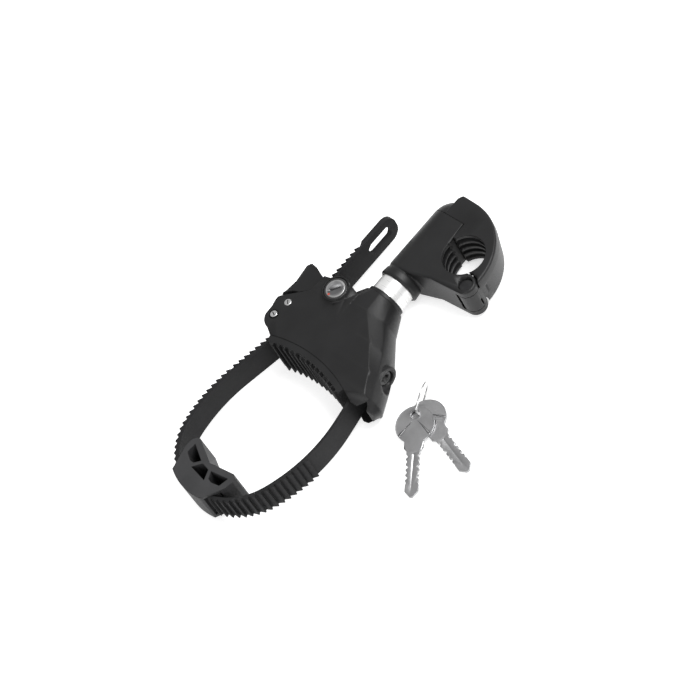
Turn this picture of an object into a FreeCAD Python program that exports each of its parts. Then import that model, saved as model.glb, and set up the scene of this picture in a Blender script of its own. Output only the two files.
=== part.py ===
"""Lockable frame clamp of a bicycle carrier: hinged tube clamp, swivel head, ratchet strap and keys."""
import FreeCAD, Part
import math
import os
import types
import Sketcher

doc = FreeCAD.newDocument("frame_clamp")

# Name, size in millimetres (angles in degrees, counts bare), what it sets.
SIZES = (
    ("bore_radius", 14.5, "tube clamp, on the crests of its grip ribs"),
    ("jaw_half", 13.5, "half the depth of both jaws along the tube"),
    ("rim_round", 1.6, "rounded rims of both jaws"),
    ("rib_pitch", 6.0, "from one grip rib to the next"),
    ("rib_depth", 1.2, "height of the grip ribs"),
    ("arm_y", -32.0, "arm axis, across from the bore axis"),
    ("arm_radius", 13.5, "round back of the fixed jaw"),
    ("split_x", -17.4, "plane where the two jaws meet"),
    ("hinge_x", 15.6, "jaw hinge axis"),
    ("hinge_y", 15.1, "jaw hinge axis"),
    ("knuckle_radius", 7.1, "hinge knuckles"),
    ("knuckle_half", 8.0, "half the height of the middle knuckle"),
    ("hinge_pin", 3.0, "radius of the hinge pin"),
    ("run_gap", 0.05, "radial clearance of turning parts"),
    ("free_gap", 0.3, "clearance between parts that pass or stand beside each other"),
    ("bolt_radius", 3.0, "tie bolt"),
    ("bolt_travel", 12.0, "length of thread the tie bolt is backed out by"),
    ("sleeve_radius", 12.0, "steel sleeve of the arm"),
    ("sleeve_end", 58.0, "end of the sleeve inside the head"),
    ("neck_x", 50.0, "start of the head"),
    ("head_half", 16.0, "half the depth of the head"),
    ("arch_x", 214.4, "centre of the arch that meets the bicycle frame"),
    ("arch_y", -41.5, "centre of the arch"),
    ("arch_radius", 108.0, "arch of the head under the rubber pad"),
    ("pad_base", 4.4, "thickness of the rubber pad under its fins"),
    ("fin_height", 2.5, "height of a rubber fin"),
    ("fin_pitch", 4.8, "from one fin to the next"),
    ("fin_count", 14, "fins across the pad"),
    ("strap_half", 10.0, "half the width of the strap"),
    ("strap_thick", 1.8, "strap without its teeth"),
    ("tooth_height", 1.8, "height of a ratchet tooth"),
    ("tooth_pitch", 4.4, "from one tooth to the next"),
    ("loop_x", 175.3, "centre of the strap's round end"),
    ("loop_y", -39.3, "centre of the strap's round end"),
    ("loop_radius", 41.0, "inside of the strap's round end"),
    ("lever_x", 86.8, "lever pivot"),
    ("lever_y", -77.4, "lever pivot"),
    ("pawl_x", 98.1, "holding pawl pivot"),
    ("pawl_y", -79.8, "holding pawl pivot"),
    ("cheek_in", 10.6, "inner faces of the cheeks beside the strap"),
    ("lock_x", 63.6, "lock axis"),
    ("lock_y", -54.1, "lock axis"),
    ("lock_radius", 8.2, "lock cylinder"),
    ("anchor_x", 90.5, "screw that holds the strap's fixed end"),
    ("anchor_radius", 3.0, "strap screw"),
    ("guard_half", 12.5, "half the depth of the frame protector"),
    ("guard_angle", -9.7, "where the protector sits on the loop"),
    ("key_thick", 1.6, "key blank"),
    ("bow_radius", 12.7, "key bow"),
    ("key_length", 49.0, "bow centre to key tip"),
    ("key_eye", 6.6, "bow centre to the hole for the ring"),
    ("ring_radius", 10.2, "middle of the key ring's wire"),
    ("wire_radius", 0.75, "wire of the key ring"),
)


class Size:
    """A length that knows its value and the sheet expression behind it."""

    def __init__(self, value, text=None):
        self.value = float(value)
        self.text = text if text else f"({self.value:.6g})"

    def __add__(self, other):
        other = size(other)
        return Size(self.value + other.value, f"({self.text} + {other.text})")

    def __sub__(self, other):
        other = size(other)
        return Size(self.value - other.value, f"({self.text} - {other.text})")

    def __mul__(self, other):
        other = size(other)
        return Size(self.value * other.value, f"({self.text} * {other.text})")

    def __truediv__(self, other):
        other = size(other)
        return Size(self.value / other.value, f"({self.text} / {other.text})")

    def __radd__(self, other):
        return size(other) + self

    def __rsub__(self, other):
        return size(other) - self

    def __rmul__(self, other):
        return size(other) * self

    def __neg__(self):
        return size(-1) * self


def size(value):
    return value if isinstance(value, Size) else Size(value)


def cosine(angle):
    angle = size(angle)
    return Size(math.cos(math.radians(angle.value)), f"cos({angle.text} * 1 deg)")


def sine(angle):
    angle = size(angle)
    return Size(math.sin(math.radians(angle.value)), f"sin({angle.text} * 1 deg)")


def build_sheet():
    sheet = doc.addObject("Spreadsheet::Sheet", "Sizes")
    sizes = types.SimpleNamespace()
    for row, (name, value, note) in enumerate(SIZES, 1):
        sheet.set(f"A{row}", name)
        sheet.set(f"B{row}", str(value))
        sheet.set(f"C{row}", note)
        sheet.setAlias(f"B{row}", name)
        setattr(sizes, name, Size(value, f"Sizes.{name}"))
    doc.recompute()
    return sizes


S = build_sheet()
PARTS = []


def bind(thing, prop, value):
    """Set a property from the sheet."""
    thing.setExpression(prop, size(value).text)


def part(label):
    body = doc.addObject("PartDesign::Body", label)
    body.Label = label
    PARTS.append(body)
    return body


def origin_plane(body, role):
    return [p for p in body.Origin.OriginFeatures if p.Role == role + "_Plane"][0]


def circle(x, y, radius):
    return ("circle", size(x), size(y), size(radius))


def polar(x, y, radius, angle):
    """The point at a radius and angle from a centre."""
    return (x + radius * cosine(angle), y + radius * sine(angle))


def add_side(sk, start, end, radius):
    """One side of an outline; returns its number and which of its ends comes first."""
    a, b = (FreeCAD.Vector(p[0].value, p[1].value, 0) for p in (start, end))
    if radius is None:
        return sk.addGeometry(Part.LineSegment(a, b), False), 1, 2
    turn = math.copysign(1, radius.value)
    middle = (a + b) * 0.5
    left = FreeCAD.Vector(a.y - b.y, b.x - a.x, 0).normalize()
    rise = math.sqrt(max(radius.value ** 2 - ((b - a).Length / 2) ** 2, 0))
    centre = middle + left * rise * turn
    first, last = (a, b) if turn > 0 else (b, a)
    angles = [math.atan2(p.y - centre.y, p.x - centre.x) for p in (first, last)]
    base = Part.Circle(centre, FreeCAD.Vector(0, 0, 1), abs(radius.value))
    number = sk.addGeometry(Part.ArcOfCircle(base, angles[0], angles[1]), False)
    return (number, 1, 2) if turn > 0 else (number, 2, 1)


def draw_outline(sk, corners):
    """Corners (x, y), or (x, y, r) where the side leading there is an arc (r < 0 runs clockwise)."""
    corners = [tuple(size(v) for v in c) for c in corners]
    sides = []
    for i, end in enumerate(corners):
        radius = end[2] if len(end) == 3 else None
        sides.append((add_side(sk, corners[i - 1], end, radius), corners[i - 1], radius))
    rules, drives = [], []
    for i, ((number, first, last), start, radius) in enumerate(sides):
        following = sides[(i + 1) % len(sides)][0]
        rules.append(Sketcher.Constraint("Coincident", number, last, following[0], following[1]))
        drives.append(None)
        for kind, value in (("DistanceX", start[0]), ("DistanceY", start[1])):
            rules.append(Sketcher.Constraint(kind, -1, 1, number, first, value.value))
            drives.append(value)
        if radius is not None:
            rules.append(Sketcher.Constraint("Radius", number, abs(radius.value)))
            drives.append(radius if radius.value > 0 else -radius)
    add_rules(sk, rules, drives)


def add_rules(sk, rules, drives):
    numbers = sk.addConstraint(rules)
    for number, drive in zip(numbers, drives):
        if drive is not None and "Sizes." in drive.text:
            sk.setExpression(f"Constraints[{number}]", drive.text)


def draw_circle(sk, x, y, radius):
    centre = FreeCAD.Vector(x.value, y.value, 0)
    base = Part.Circle(centre, FreeCAD.Vector(0, 0, 1), radius.value)
    number = sk.addGeometry(base, False)
    rules = [
        Sketcher.Constraint("DistanceX", -1, 1, number, 3, x.value),
        Sketcher.Constraint("DistanceY", -1, 1, number, 3, y.value),
        Sketcher.Constraint("Radius", number, radius.value),
    ]
    add_rules(sk, rules, [x, y, radius])


def sketch(body, name, plane, loops, at=(0, 0, 0), turn=None):
    """Closed loops on one of the body's own planes, moved by at and turned in that plane."""
    sk = body.newObject("Sketcher::SketchObject", name)
    sk.AttachmentSupport = [(origin_plane(body, plane), "")]
    sk.MapMode = "FlatFace"
    for axis, value in zip("xyz", at):
        bind(sk, f"AttachmentOffset.Base.{axis}", value)
    if turn is not None:
        bind(sk, "AttachmentOffset.Rotation.Angle", turn)
    for loop in loops:
        if loop[0] == "circle":
            draw_circle(sk, *loop[1:])
        else:
            draw_outline(sk, loop)
    return sk


def prism(body, name, loops, low, high, plane="XY", cut=False, at=(0, 0), turn=None):
    """Straight solid or pocket between two levels along the plane's axis."""
    low, high = size(low), size(high)
    start = -high if plane == "XZ" else low
    sk = sketch(body, name + "_outline", plane, loops, (*at, start), turn)
    kind = "Pocket" if cut else "Pad"
    made = body.newObject("PartDesign::" + kind, name)
    made.Profile = sk
    made.Type = "Length"
    bind(made, "Length", high - low)
    made.Reversed = cut
    sk.Visibility = False
    return made


def turned(body, name, loops, plane="XY", at=(0, 0, 0), axis="H_Axis", cut=False):
    """Solid or groove turned about an axis of its own sketch."""
    sk = sketch(body, name + "_profile", plane, loops, at)
    made = body.newObject("PartDesign::" + ("Groove" if cut else "Revolution"), name)
    made.Profile = sk
    made.ReferenceAxis = (sk, [axis])
    made.Angle = 360
    sk.Visibility = False
    return made


def rounded(body, name, radius, chosen):
    """Round the edges whose middle points answer a rule."""
    base = body.Tip
    doc.recompute()
    names = []
    for number, edge in enumerate(base.Shape.Edges, 1):
        if chosen(edge.valueAt((edge.FirstParameter + edge.LastParameter) / 2)):
            names.append(f"Edge{number}")
    made = body.newObject("PartDesign::Fillet", name)
    made.Base = (base, names)
    bind(made, "Radius", radius)


def box(x0, y0, x1, y1):
    return [(x0, y0), (x1, y0), (x1, y1), (x0, y1)]


def grown(corners, gap):
    """A straight-sided outline (anticlockwise) moved outwards by a gap."""
    corners = [tuple(size(v) for v in c) for c in corners]
    out = []
    for i, here in enumerate(corners):
        before, after = corners[i - 1], corners[(i + 1) % len(corners)]
        normals = []
        for a, b in ((before, here), (here, after)):
            dx, dy = b[0].value - a[0].value, b[1].value - a[1].value
            length = math.hypot(dx, dy)
            normals.append((dy / length, -dx / length))
        nx, ny = normals[0][0] + normals[1][0], normals[0][1] + normals[1][1]
        scale = 2 / (nx * nx + ny * ny)
        out.append((here[0] + gap * (nx * scale), here[1] + gap * (ny * scale)))
    return out


ARM = (0, S.arm_y, 0)


def jaw_ribs(body):
    """Grooves that leave the grip ribs standing at the bore radius."""
    inner, outer = S.bore_radius - 1, S.bore_radius + S.rib_depth
    loops = []
    for step in (-1.5, -0.5, 0.5, 1.5):
        middle = S.rib_pitch * step
        wide, slim = S.rib_pitch * 0.31, S.rib_pitch * 0.22
        loops.append([
            (inner, middle - wide), (outer, middle - slim), (outer, middle + slim), (inner, middle + wide),
        ])
    turned(body, "grip_grooves", loops, "XZ", axis="V_Axis", cut=True)


def knuckle_holes(body):
    hole = circle(S.hinge_x, S.hinge_y, S.hinge_pin + S.run_gap)
    prism(body, "pin_hole", [hole], -S.jaw_half, S.jaw_half, cut=True)


def main_jaw():
    jaw = part("main_jaw")
    bore, half, reach = S.bore_radius, S.jaw_half, S.knuckle_radius
    outline = [
        (S.split_x, S.arm_y),
        (29, S.arm_y),
        (28.6, -23.6),
        (24.1, -8),
        (S.hinge_x + reach, S.hinge_y),
        (S.hinge_x, S.hinge_y + reach, reach),
        (S.hinge_x - reach, S.hinge_y, reach),
        polar(0, 0, bore, 50),
        (*polar(0, 0, bore, -45), -bore),
        (*polar(0, 0, bore, -97), -bore),
        (-2, -15.4),
        (S.split_x + 1, -15.4),
        (S.split_x, -16.4, 1),
    ]
    prism(jaw, "block", [outline], -half, half)

    def outer_rim(p):
        return abs(p.z) > half.value - 0.01 and p.x > 10 and math.hypot(p.x, p.y) > bore.value + 1

    rounded(jaw, "rim_round", S.rim_round, outer_rim)
    r = S.arm_radius
    tube = [
        (S.split_x, 0), (36, 0), (36, r - 0.6), (35, r + 0.4),
        (30.6, r), (28.8, r - 0.7), (27, r), (S.split_x, r),
    ]
    turned(jaw, "arm_tube", [tube], at=ARM)
    prism(jaw, "knuckle_gap", [circle(S.hinge_x, S.hinge_y, reach + 1)], -S.knuckle_half - 0.25,
          S.knuckle_half + 0.25, cut=True)
    knuckle_holes(jaw)
    for name, low, high in (("head_seat", half - 3.2, half), ("foot_seat", -half, 3.2 - half)):
        prism(jaw, name, [circle(S.hinge_x, S.hinge_y, 4.9)], low, high, cut=True)
    hole, socket = S.bolt_radius + 1, S.sleeve_radius + 0.02
    tunnel = [(S.split_x - 1, 0), (37, 0), (37, socket), (30, socket), (30, hole), (S.split_x - 1, hole)]
    turned(jaw, "bolt_way", [tunnel], at=ARM, cut=True)
    jaw_ribs(jaw)


def swing_jaw():
    jaw = part("swing_jaw")
    bore, half, reach = S.bore_radius, S.jaw_half, S.knuckle_radius
    face = S.split_x - S.free_gap
    outline = [
        (face, S.arm_y),
        (face, -15.1),
        (-6.4, -15.1),
        polar(0, 0, bore, -116.2),
        (*polar(0, 0, bore, 160), -bore),
        (*polar(0, 0, bore, 50), -bore),
        (13, 13),
        (13, 21.5),
        (-33.6, -17.3, 42.4),
        (-34, -29.6),
        (-33, S.arm_y + 0.6, 2),
        (-32, S.arm_y),
    ]
    prism(jaw, "block", [outline], -half, half)

    def outer_rim(p):
        outside = abs(p.z) > half.value - 0.01 and math.hypot(p.x, p.y) > bore.value + 3.5
        return outside and -29 < p.y and p.x < 12 and (p.y > 0 or p.x < face.value - 2)

    rounded(jaw, "rim_round", S.rim_round, outer_rim)
    nose = [(-33.8, 0), (face, 0), (face, S.arm_radius - 0.1)]
    turned(jaw, "free_end", [[(*nose[0], 17.5), nose[1], nose[2]]], at=ARM)
    draft = [(38.4, -half - 1), (46, -half - 1), (46, 9), (42.5, 9), (39.2, -half)]
    turned(jaw, "back_draft", [draft], "XZ", (8.3, 0, 20.7), "V_Axis", cut=True)
    knuckle = S.knuckle_half - 0.25
    for name, low, high in (("front_gap", knuckle, half), ("rear_gap", -half, -knuckle)):
        prism(jaw, name, [circle(S.hinge_x, S.hinge_y, reach + 1)], low, high, cut=True)
    prism(jaw, "knuckle", [circle(S.hinge_x, S.hinge_y, reach)], 0.25 - S.knuckle_half, S.knuckle_half - 0.25)
    knuckle_holes(jaw)
    prism(jaw, "nut_hole", [circle(-22.6, S.arm_y, 4.85)], -half, 7.6, cut=True)
    prism(jaw, "long_slot", [box(5.6, 19.6, 6.8, 24)], -9, 4, cut=True)
    prism(jaw, "short_slot", [box(13.6, 20.2, 14.8, 24)], -6.2, -0.4, cut=True)
    hole = S.bolt_radius + 1
    turned(jaw, "bolt_way", [[(-30, 0), (-17, 0), (-17, hole), (-30, hole)]], at=ARM, cut=True)
    jaw_ribs(jaw)


def hinge_pin():
    pin = part("hinge_pin")
    half, r = S.jaw_half, S.hinge_pin
    head, lip = half - 2, half - 3.2
    profile = [(0, -head), (4.4, -head), (4.4, -lip), (r, -lip), (r, lip), (4.4, lip), (4.4, head), (0, head)]
    turned(pin, "pin", [profile], "XZ", (S.hinge_x, 0, -S.hinge_y), "V_Axis")


def barrel_nut():
    nut = part("barrel_nut")
    prism(nut, "barrel", [circle(-22.6, S.arm_y, 4.8)], -7.5, 7.5)
    reach = S.bolt_radius + 0.04
    turned(nut, "thread_hole", [[(-29, 0), (-17, 0), (-17, reach), (-29, reach)]], at=ARM, cut=True)


def tie_bolt():
    bolt = part("tie_bolt")
    r, seat = S.bolt_radius, S.sleeve_end + S.bolt_travel
    shank = [(-16.4, 0), (seat + 6, 0), (seat + 6, 5), (seat, 5), (seat, r), (-15.4, r), (-16.4, r - 0.8)]
    turned(bolt, "shank", [shank], at=ARM)
    corners = [polar(S.arm_y, 0, size(2.9), 60 * k) for k in range(6)]
    prism(bolt, "hex_socket", [corners], seat + 2.5, seat + 6, "YZ", cut=True)


def arm_sleeve():
    sleeve = part("arm_sleeve")
    r, end = S.sleeve_radius, S.sleeve_end
    profile = [
        (30, r - 3), (30, r), (end - 2.2, r), (end - 2.2, r - 0.9),
        (end - 0.9, r - 0.9), (end - 0.9, r), (end, r),
        (end, S.bolt_radius + 0.4), (end - 4, S.bolt_radius + 0.4), (end - 4, r - 3),
    ]
    turned(sleeve, "sleeve", [profile], at=ARM)


def rings():
    washer = part("thrust_washer")
    inner = S.sleeve_radius + S.run_gap
    prism(washer, "disc", [circle(S.arm_y, 0, 13), circle(S.arm_y, 0, inner)], 47, S.neck_x - 0.25, "YZ")
    ring = part("retaining_ring")
    low = S.sleeve_end - 2.15
    outer, inner = S.sleeve_radius + 1, S.sleeve_radius - 0.85
    start, stop = polar(S.arm_y, 0, outer, 100), polar(S.arm_y, 0, outer, 80)
    ins, ine = polar(S.arm_y, 0, inner, 100), polar(S.arm_y, 0, inner, 80)
    outline = [start, (*polar(S.arm_y, 0, outer, 270), outer), (*stop, outer), ine,
               (*polar(S.arm_y, 0, inner, 270), -inner), (*ins, -inner)]
    prism(ring, "snap_ring", [outline], low, low + 1.2, "YZ")


def turned_point(x, y, distance, heading):
    """The point reached from (x, y) by going a distance along a heading."""
    return (x + distance * cosine(heading), y + distance * sine(heading))


STRAP_STEPS = (
    ("straight", 40.4, None), ("bend", -12.4, 150), ("straight", 40.5, None), ("bend", 22.4, 109),
    ("bend", 146, "loop"), ("bend", 34, 105), ("straight", 47.9, None),
)


def follow_strap(x, y):
    """Inner face of the strap from its tail on: kind, start or centre, heading, length or angle, radius."""
    heading, path = size(0), []
    for kind, amount, radius in STRAP_STEPS:
        if kind == "straight":
            path.append((kind, x, y, heading, amount, None))
            x, y = turned_point(x, y, size(amount), heading)
            continue
        radius = S.loop_radius if radius == "loop" else size(radius)
        side = 1 if amount > 0 else -1
        cx, cy = turned_point(x, y, radius, heading + 90 * side)
        path.append((kind, cx, cy, heading, amount, radius))
        heading = heading + amount
        x, y = turned_point(cx, cy, radius, heading - 90 * side)
    return path


def strap_path():
    """The same path placed so that its round end is centred where the sheet says."""
    trial = follow_strap(size(0), size(0))
    round_end = trial[4]
    return follow_strap(S.loop_x - round_end[1], S.loop_y - round_end[2])


# Sections of the head across the arm: x, then y and z of the crease, y and z of the shoulder and
# y of the belly, first on the strap side and then on the lever side.
HEAD_SECTIONS = (
    (50, -29, 14.19, -21, 9.45, -17.5, -35, 14.19, -43, 9.45, -46.5),
    (64, -26.8, 15.9, -13.6, 11, -9.8, -41, 15.9, -52, 10.5, -56),
    (80, -9.4, 16, 0.4, 11, 3.6, -53, 16, -60, 10.5, -62),
    (96, 4.6, 16, 9.6, 11, 13, -56, 16, -62, 10.5, -64),
    (109.5, 12.8, 16, 16.6, 11, 19.4, -57, 16, -62, 10.5, -64),
    (119, -6, 16, 10, 11, 18, -57, 16, -62, 10.5, -64),
)


def head_section(body, number, x, yc, zc, ym, zm, yb, uc, wc, um, wm, ub):
    """Rounded section: flat front and back, sloped shoulders and arched sides."""
    def bulge(shoulder, half, belly):
        rise = abs(belly - shoulder)
        return (half * half + rise * rise) / (2 * rise)
    half = S.head_half / 16
    bend = max(15, 2.2 * (x - 44))
    outline = [
        (yc, half * -zc), (ym, half * -zm, bend), (ym, half * zm, bulge(ym, zm, yb)),
        (yc, half * zc, bend), (uc, half * wc), (um, half * wm, bend),
        (um, half * -wm, bulge(um, wm, ub)), (uc, half * -wc, bend),
    ]
    return sketch(body, f"section_{number}", "YZ", [outline], (0, 0, x))


def strap_floor(gap):
    """Edge of the passage under the strap's inner face."""
    path = strap_path()
    start_x, y = path[0][1], path[0][2] + gap
    bend = start_x + 40.4
    return [
        (start_x + 20, y), (bend, y), (bend + 12, y - 0.48), (bend + 22, y - 1.62), (bend + 32.2, y - 3.5),
        (bend + 50, y - 7.41),
    ]


COVER = [
    (58, -65.6), (101.5, -65.6), (102.6, -41.5), (103.4, -20), (100, -11), (88, -9),
    (80, -13.5), (70, -26.5), (69.5, -40), (60.2, -42.6), (58, -50),
]
COVER_SCREWS = ((64, -45.9), (98.3, -62.4), (98, -14.6), (73.6, -27.5))
HOLLOW = [
    (76.8, -47), (78.5, -61.5), (97, -62), (99.6, -58.5), (99.8, -41.5), (101, -20), (94, -17.5),
    (84, -14.8), (77.5, -22), (76.8, -34),
]


def head_shell():
    shell = part("head_shell")
    sections = [head_section(shell, n, *row) for n, row in enumerate(HEAD_SECTIONS)]
    loft = shell.newObject("PartDesign::AdditiveLoft", "swept_body")
    loft.Profile = sections[0]
    loft.Sections = [(s, [""]) for s in sections[1:]]
    loft.Ruled = True
    half = S.head_half
    lobe = S.lock_radius + 1.1
    cheeks = [
        (58, -40), (S.lock_x - lobe + 1, S.lock_y + 4), (S.lock_x - lobe, S.lock_y), (57.6, -61.2, lobe),
        (59.6, -69.4), (72.4, -70.3), (84.6, -84.4), (S.lever_x, S.lever_y - 9, 9),
        (S.lever_x + 6, S.lever_y - 6.7 - 1.2, 9), (100.6, -85), (107.6, -76.8, 10), (111, -71), (108, -40),
    ]
    prism(shell, "cheeks", [cheeks], -half, half)
    prism(shell, "lock_boss", [circle(S.lock_x, S.lock_y, lobe)], 10, half + 3)
    prism(shell, "anchor_boss", [circle(S.anchor_x, 0, 8.4)], -6, 7.8, "XZ")
    prism(shell, "arch", [circle(S.arch_x, S.arch_y, S.arch_radius)], -half - 1, half + 1, cut=True)
    tip = [(113, 27), (113.5, 20.6), (117.3, 14.5), (117.9, 7), (126, 7), (126, 27)]
    prism(shell, "tip", [tip], -half - 1, half + 1, cut=True)
    floor = strap_floor(0.35)
    passage = floor + [(floor[-1][0], -96), (floor[0][0], -96)]
    prism(shell, "strap_passage", [list(reversed(passage))], -S.cheek_in, S.cheek_in, cut=True)
    slot = [
        (81.5, -4.4), (97, -1.7), (122, 2.7), (122, 17.6),
        (113.5, 16.2), (101, 9.5), (97.5, 2.9), (81.5, -0.9),
    ]
    prism(shell, "strap_mouth", [slot], -S.cheek_in, S.cheek_in, cut=True)
    prism(shell, "spot_face", [circle(S.anchor_x, 0, 8.7)], 7.8, 30, "XZ", cut=True)
    prism(shell, "screw_recess", [circle(S.anchor_x, 0, 5.6)], 2.6, 9, "XZ", cut=True)
    prism(shell, "screw_hole", [circle(S.anchor_x, 0, S.anchor_radius + 0.25)], -14, 9, "XZ", cut=True)
    flats = [polar(S.anchor_x, 0, size(5.9), 60 * k) for k in range(6)]
    prism(shell, "nut_pocket", [flats], -15, -6.2, "XZ", cut=True)
    prism(shell, "hollow", [HOLLOW], -half, half - 3.2, cut=True)
    inner, end = S.sleeve_radius + S.run_gap, S.sleeve_end
    tunnel = [
        (49, 0), (79, 0), (79, 7.5), (end + 0.4, 7.5), (end + 0.4, inner + 1.4), (end - 2.6, inner + 1.4),
        (end - 2.6, inner), (49, inner),
    ]
    turned(shell, "arm_socket", [tunnel], at=ARM, cut=True)
    prism(shell, "lock_bore", [circle(S.lock_x, S.lock_y, S.lock_radius + 0.02)], -9, half + 3, cut=True)
    cam_well = box(S.lock_x - 5.2, -66.2, 77.4, S.lock_y + 5.2)
    prism(shell, "cam_well", [cam_well], -half, -8.8, cut=True)
    prism(shell, "cover_seat", [grown(COVER, 0.15)], -half, 2.6 - half, cut=True)
    for n, (x, y) in enumerate(COVER_SCREWS, 1):
        prism(shell, f"screw_pilot_{n}", [circle(x, y, 1.3)], -half, -9.2, cut=True)
    for name, x, y in (("lever", S.lever_x, S.lever_y), ("pawl", S.pawl_x, S.pawl_y)):
        prism(shell, name + "_pin_hole", [circle(x, y, 1.52)], -half, half, cut=True)
        prism(shell, name + "_head_seat", [circle(x, y, 2.45)], half - 1, half, cut=True)


def back_cover():
    cover = part("back_cover")
    half = S.head_half
    prism(cover, "plate", [COVER], -half, 2.6 - half)
    for n, (x, y) in enumerate(COVER_SCREWS, 1):
        prism(cover, f"hole_{n}", [circle(x, y, 1.55)], -half, 2.6 - half, cut=True)
        prism(cover, f"sink_{n}", [circle(x, y, 2.9)], -half, 1.3 - half, cut=True)
        screw = part(f"cover_screw_{n}")
        start = -half + 0.2
        profile = [(0, start), (2.7, start), (2.7, start + 1.1), (1.27, start + 1.1), (1.27, -9.6), (0, -9.6)]
        turned(screw, "screw", [profile], "XZ", (x, 0, -y), "V_Axis")


def lock():
    body = part("lock_body")
    top = S.head_half + 2.7
    inner = S.lock_radius - 1.6
    outline = [(inner, -8.9), (S.lock_radius, -8.9), (S.lock_radius, top - 0.4), (S.lock_radius - 0.4, top),
               (inner, top)]
    turned(body, "housing", [outline], "XZ", (S.lock_x, 0, -S.lock_y), "V_Axis")
    plug = part("lock_plug")
    side = inner - S.run_gap
    face = [(0, -8.8), (side, -8.8), (side, top + 0.1), (inner - 0.35, top + 0.4), (0, top + 0.4)]
    turned(plug, "plug", [face], "XZ", (S.lock_x, 0, -S.lock_y), "V_Axis")
    slot = box(-3.6, -0.9, 3.6, 0.9)
    prism(plug, "key_slot", [slot], top - 12, top + 1, cut=True, at=(S.lock_x, S.lock_y), turn=-38)
    prism(plug, "cam_square", [box(-2.4, -2.4, 2.4, 2.4)], -12.6, -8.8, at=(S.lock_x, S.lock_y))
    cam = part("lock_cam")
    outline = [(-3.6, 3.4), (-3.4, -9), (-1.6, -11.4), (1.6, -11.4), (3.4, -9), (3.6, 3.4)]
    prism(cam, "cam", [outline], -12.2, -9.4, at=(S.lock_x, S.lock_y))
    prism(cam, "square_hole", [box(-2.42, -2.42, 2.42, 2.42)], -13, -9, cut=True, at=(S.lock_x, S.lock_y))


def anchor():
    screw = part("anchor_screw")
    r = S.anchor_radius
    profile = [(0, -13.2), (r, -13.2), (r, 2.62), (5, 2.62), (5, 6.4), (4.6, 6.8), (0, 6.8)]
    turned(screw, "screw", [profile], "XY", (S.anchor_x, 0, 0), "V_Axis")
    corners = [polar(S.anchor_x, 0, size(2.9), 60 * k) for k in range(6)]
    prism(screw, "hex_socket", [corners], 3.6, 7, "XZ", cut=True)
    nut = part("anchor_nut")
    flats = [polar(S.anchor_x, 0, size(5.75), 60 * k) for k in range(6)]
    prism(nut, "nut", [flats, circle(S.anchor_x, 0, r + 0.03)], -11.2, -6.25, "XZ")


def frame_pad():
    """Rubber facing of the arch with fins that bear on the bicycle frame."""
    pad = part("frame_pad")
    seat = S.arch_radius - 0.05
    base = S.arch_radius - S.pad_base
    half = S.head_half - 0.4
    spread = (157.9, 196)
    low, high = (polar(S.arch_x, S.arch_y, seat, a) for a in reversed(spread))
    inlow, inhigh = (polar(S.arch_x, S.arch_y, base, a) for a in reversed(spread))
    prism(pad, "base", [[(*low, seat), inlow, (*inhigh, -base), high]], -half, half)
    step = S.fin_pitch / base * (180 / math.pi)
    first = 176.2 - step * (S.fin_count - 1) / 2
    tip = base - S.fin_height
    fin = [(base + 0.5, -0.55), (base + 0.5, 0.55), (tip + 0.4, 0.45), (tip, 0), (tip + 0.4, -0.45)]
    base_pad = pad.Tip
    made = prism(pad, "fin", [fin], -half, half, at=(S.arch_x, S.arch_y), turn=first)
    fins = pad.newObject("PartDesign::PolarPattern", "fins")
    fins.Originals = [made]
    fins.Axis = (made.Profile[0], ["N_Axis"])
    bind(fins, "Angle", step * (S.fin_count - 1))
    bind(fins, "Occurrences", S.fin_count)
    pad.Tip = fins


def strap_side(path, gap):
    """Corners of a line beside the strap's inner face; outwards is to the right of the path."""
    corners = []
    for kind, x, y, heading, amount, radius in path:
        if kind == "straight":
            out = heading - 90
            corners.append(turned_point(x, y, size(gap), out))
            far = turned_point(x, y, size(amount), heading)
            corners.append(turned_point(*far, size(gap), out))
            continue
        side = 1 if amount > 0 else -1
        reach = radius + size(gap) * side
        pieces = 2 if abs(amount) > 90 else 1
        for k in range(1, pieces + 1):
            angle = heading + amount * k / pieces - 90 * side
            corners.append((*turned_point(x, y, reach, angle), reach * side))
    clean = corners[:1]
    for corner in corners[1:]:
        gap_x, gap_y = (corner[i].value - clean[-1][i].value for i in (0, 1))
        if math.hypot(gap_x, gap_y) > 0.01:
            clean.append(corner)
    return clean


def reversed_corners(corners):
    """The same run of corners walked the other way, each arc kept on its own side."""
    out = [corners[-1][:2]]
    for k in range(len(corners) - 1, 0, -1):
        point = corners[k - 1][:2]
        out.append((*point, -corners[k][2]) if len(corners[k]) == 3 else point)
    return out


def strap():
    body = part("strap")
    path = strap_path()
    half, thick, rise = S.strap_half, S.strap_thick, S.tooth_height
    outer = strap_side(path, thick)
    inner = reversed_corners(strap_side(path, 0))
    prism(body, "band", [outer + inner], -half, half)
    x, y = path[0][1], path[0][2]
    pull = [(x + 1, y), (x - 28, y), (x - 28, y - 3.6), (x - 2.5, y - 3.6), (x + 1, y - 1.8)]
    prism(body, "pull", [pull], -half, half)
    slot = [(8, -4.6, 5.2), (22.6, -4.6), (25.8, -2.6), (25.8, 2.6), (22.6, 4.6), (8, 4.6)]
    prism(body, "pull_slot", [slot], y - 5, y + 1, "XZ", cut=True)
    for name, side in (("front_round", 1), ("rear_round", -1)):
        corner = [
            (-1, side * 2), (x - 28, side * 2), (x - 20, side * half, -8 * side),
            (x - 20, side * (half + 1)), (-1, side * (half + 1)),
        ]
        prism(body, name, [corner], y - 6, y + 1, "XZ", cut=True)
    prism(body, "strap_hole", [circle(S.anchor_x, 0, S.anchor_radius + 0.3)], -9, 6, "XZ", cut=True)
    teeth = ((0, 0.2, 9), (1, 0.3, 7), (2, 0.2, 9), (3, 0.3, 9), (4, 0.2, 24), (5, 0.4, 7))
    for number, start, count in teeth:
        strap_teeth(body, path[number], number, start, count)


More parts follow.
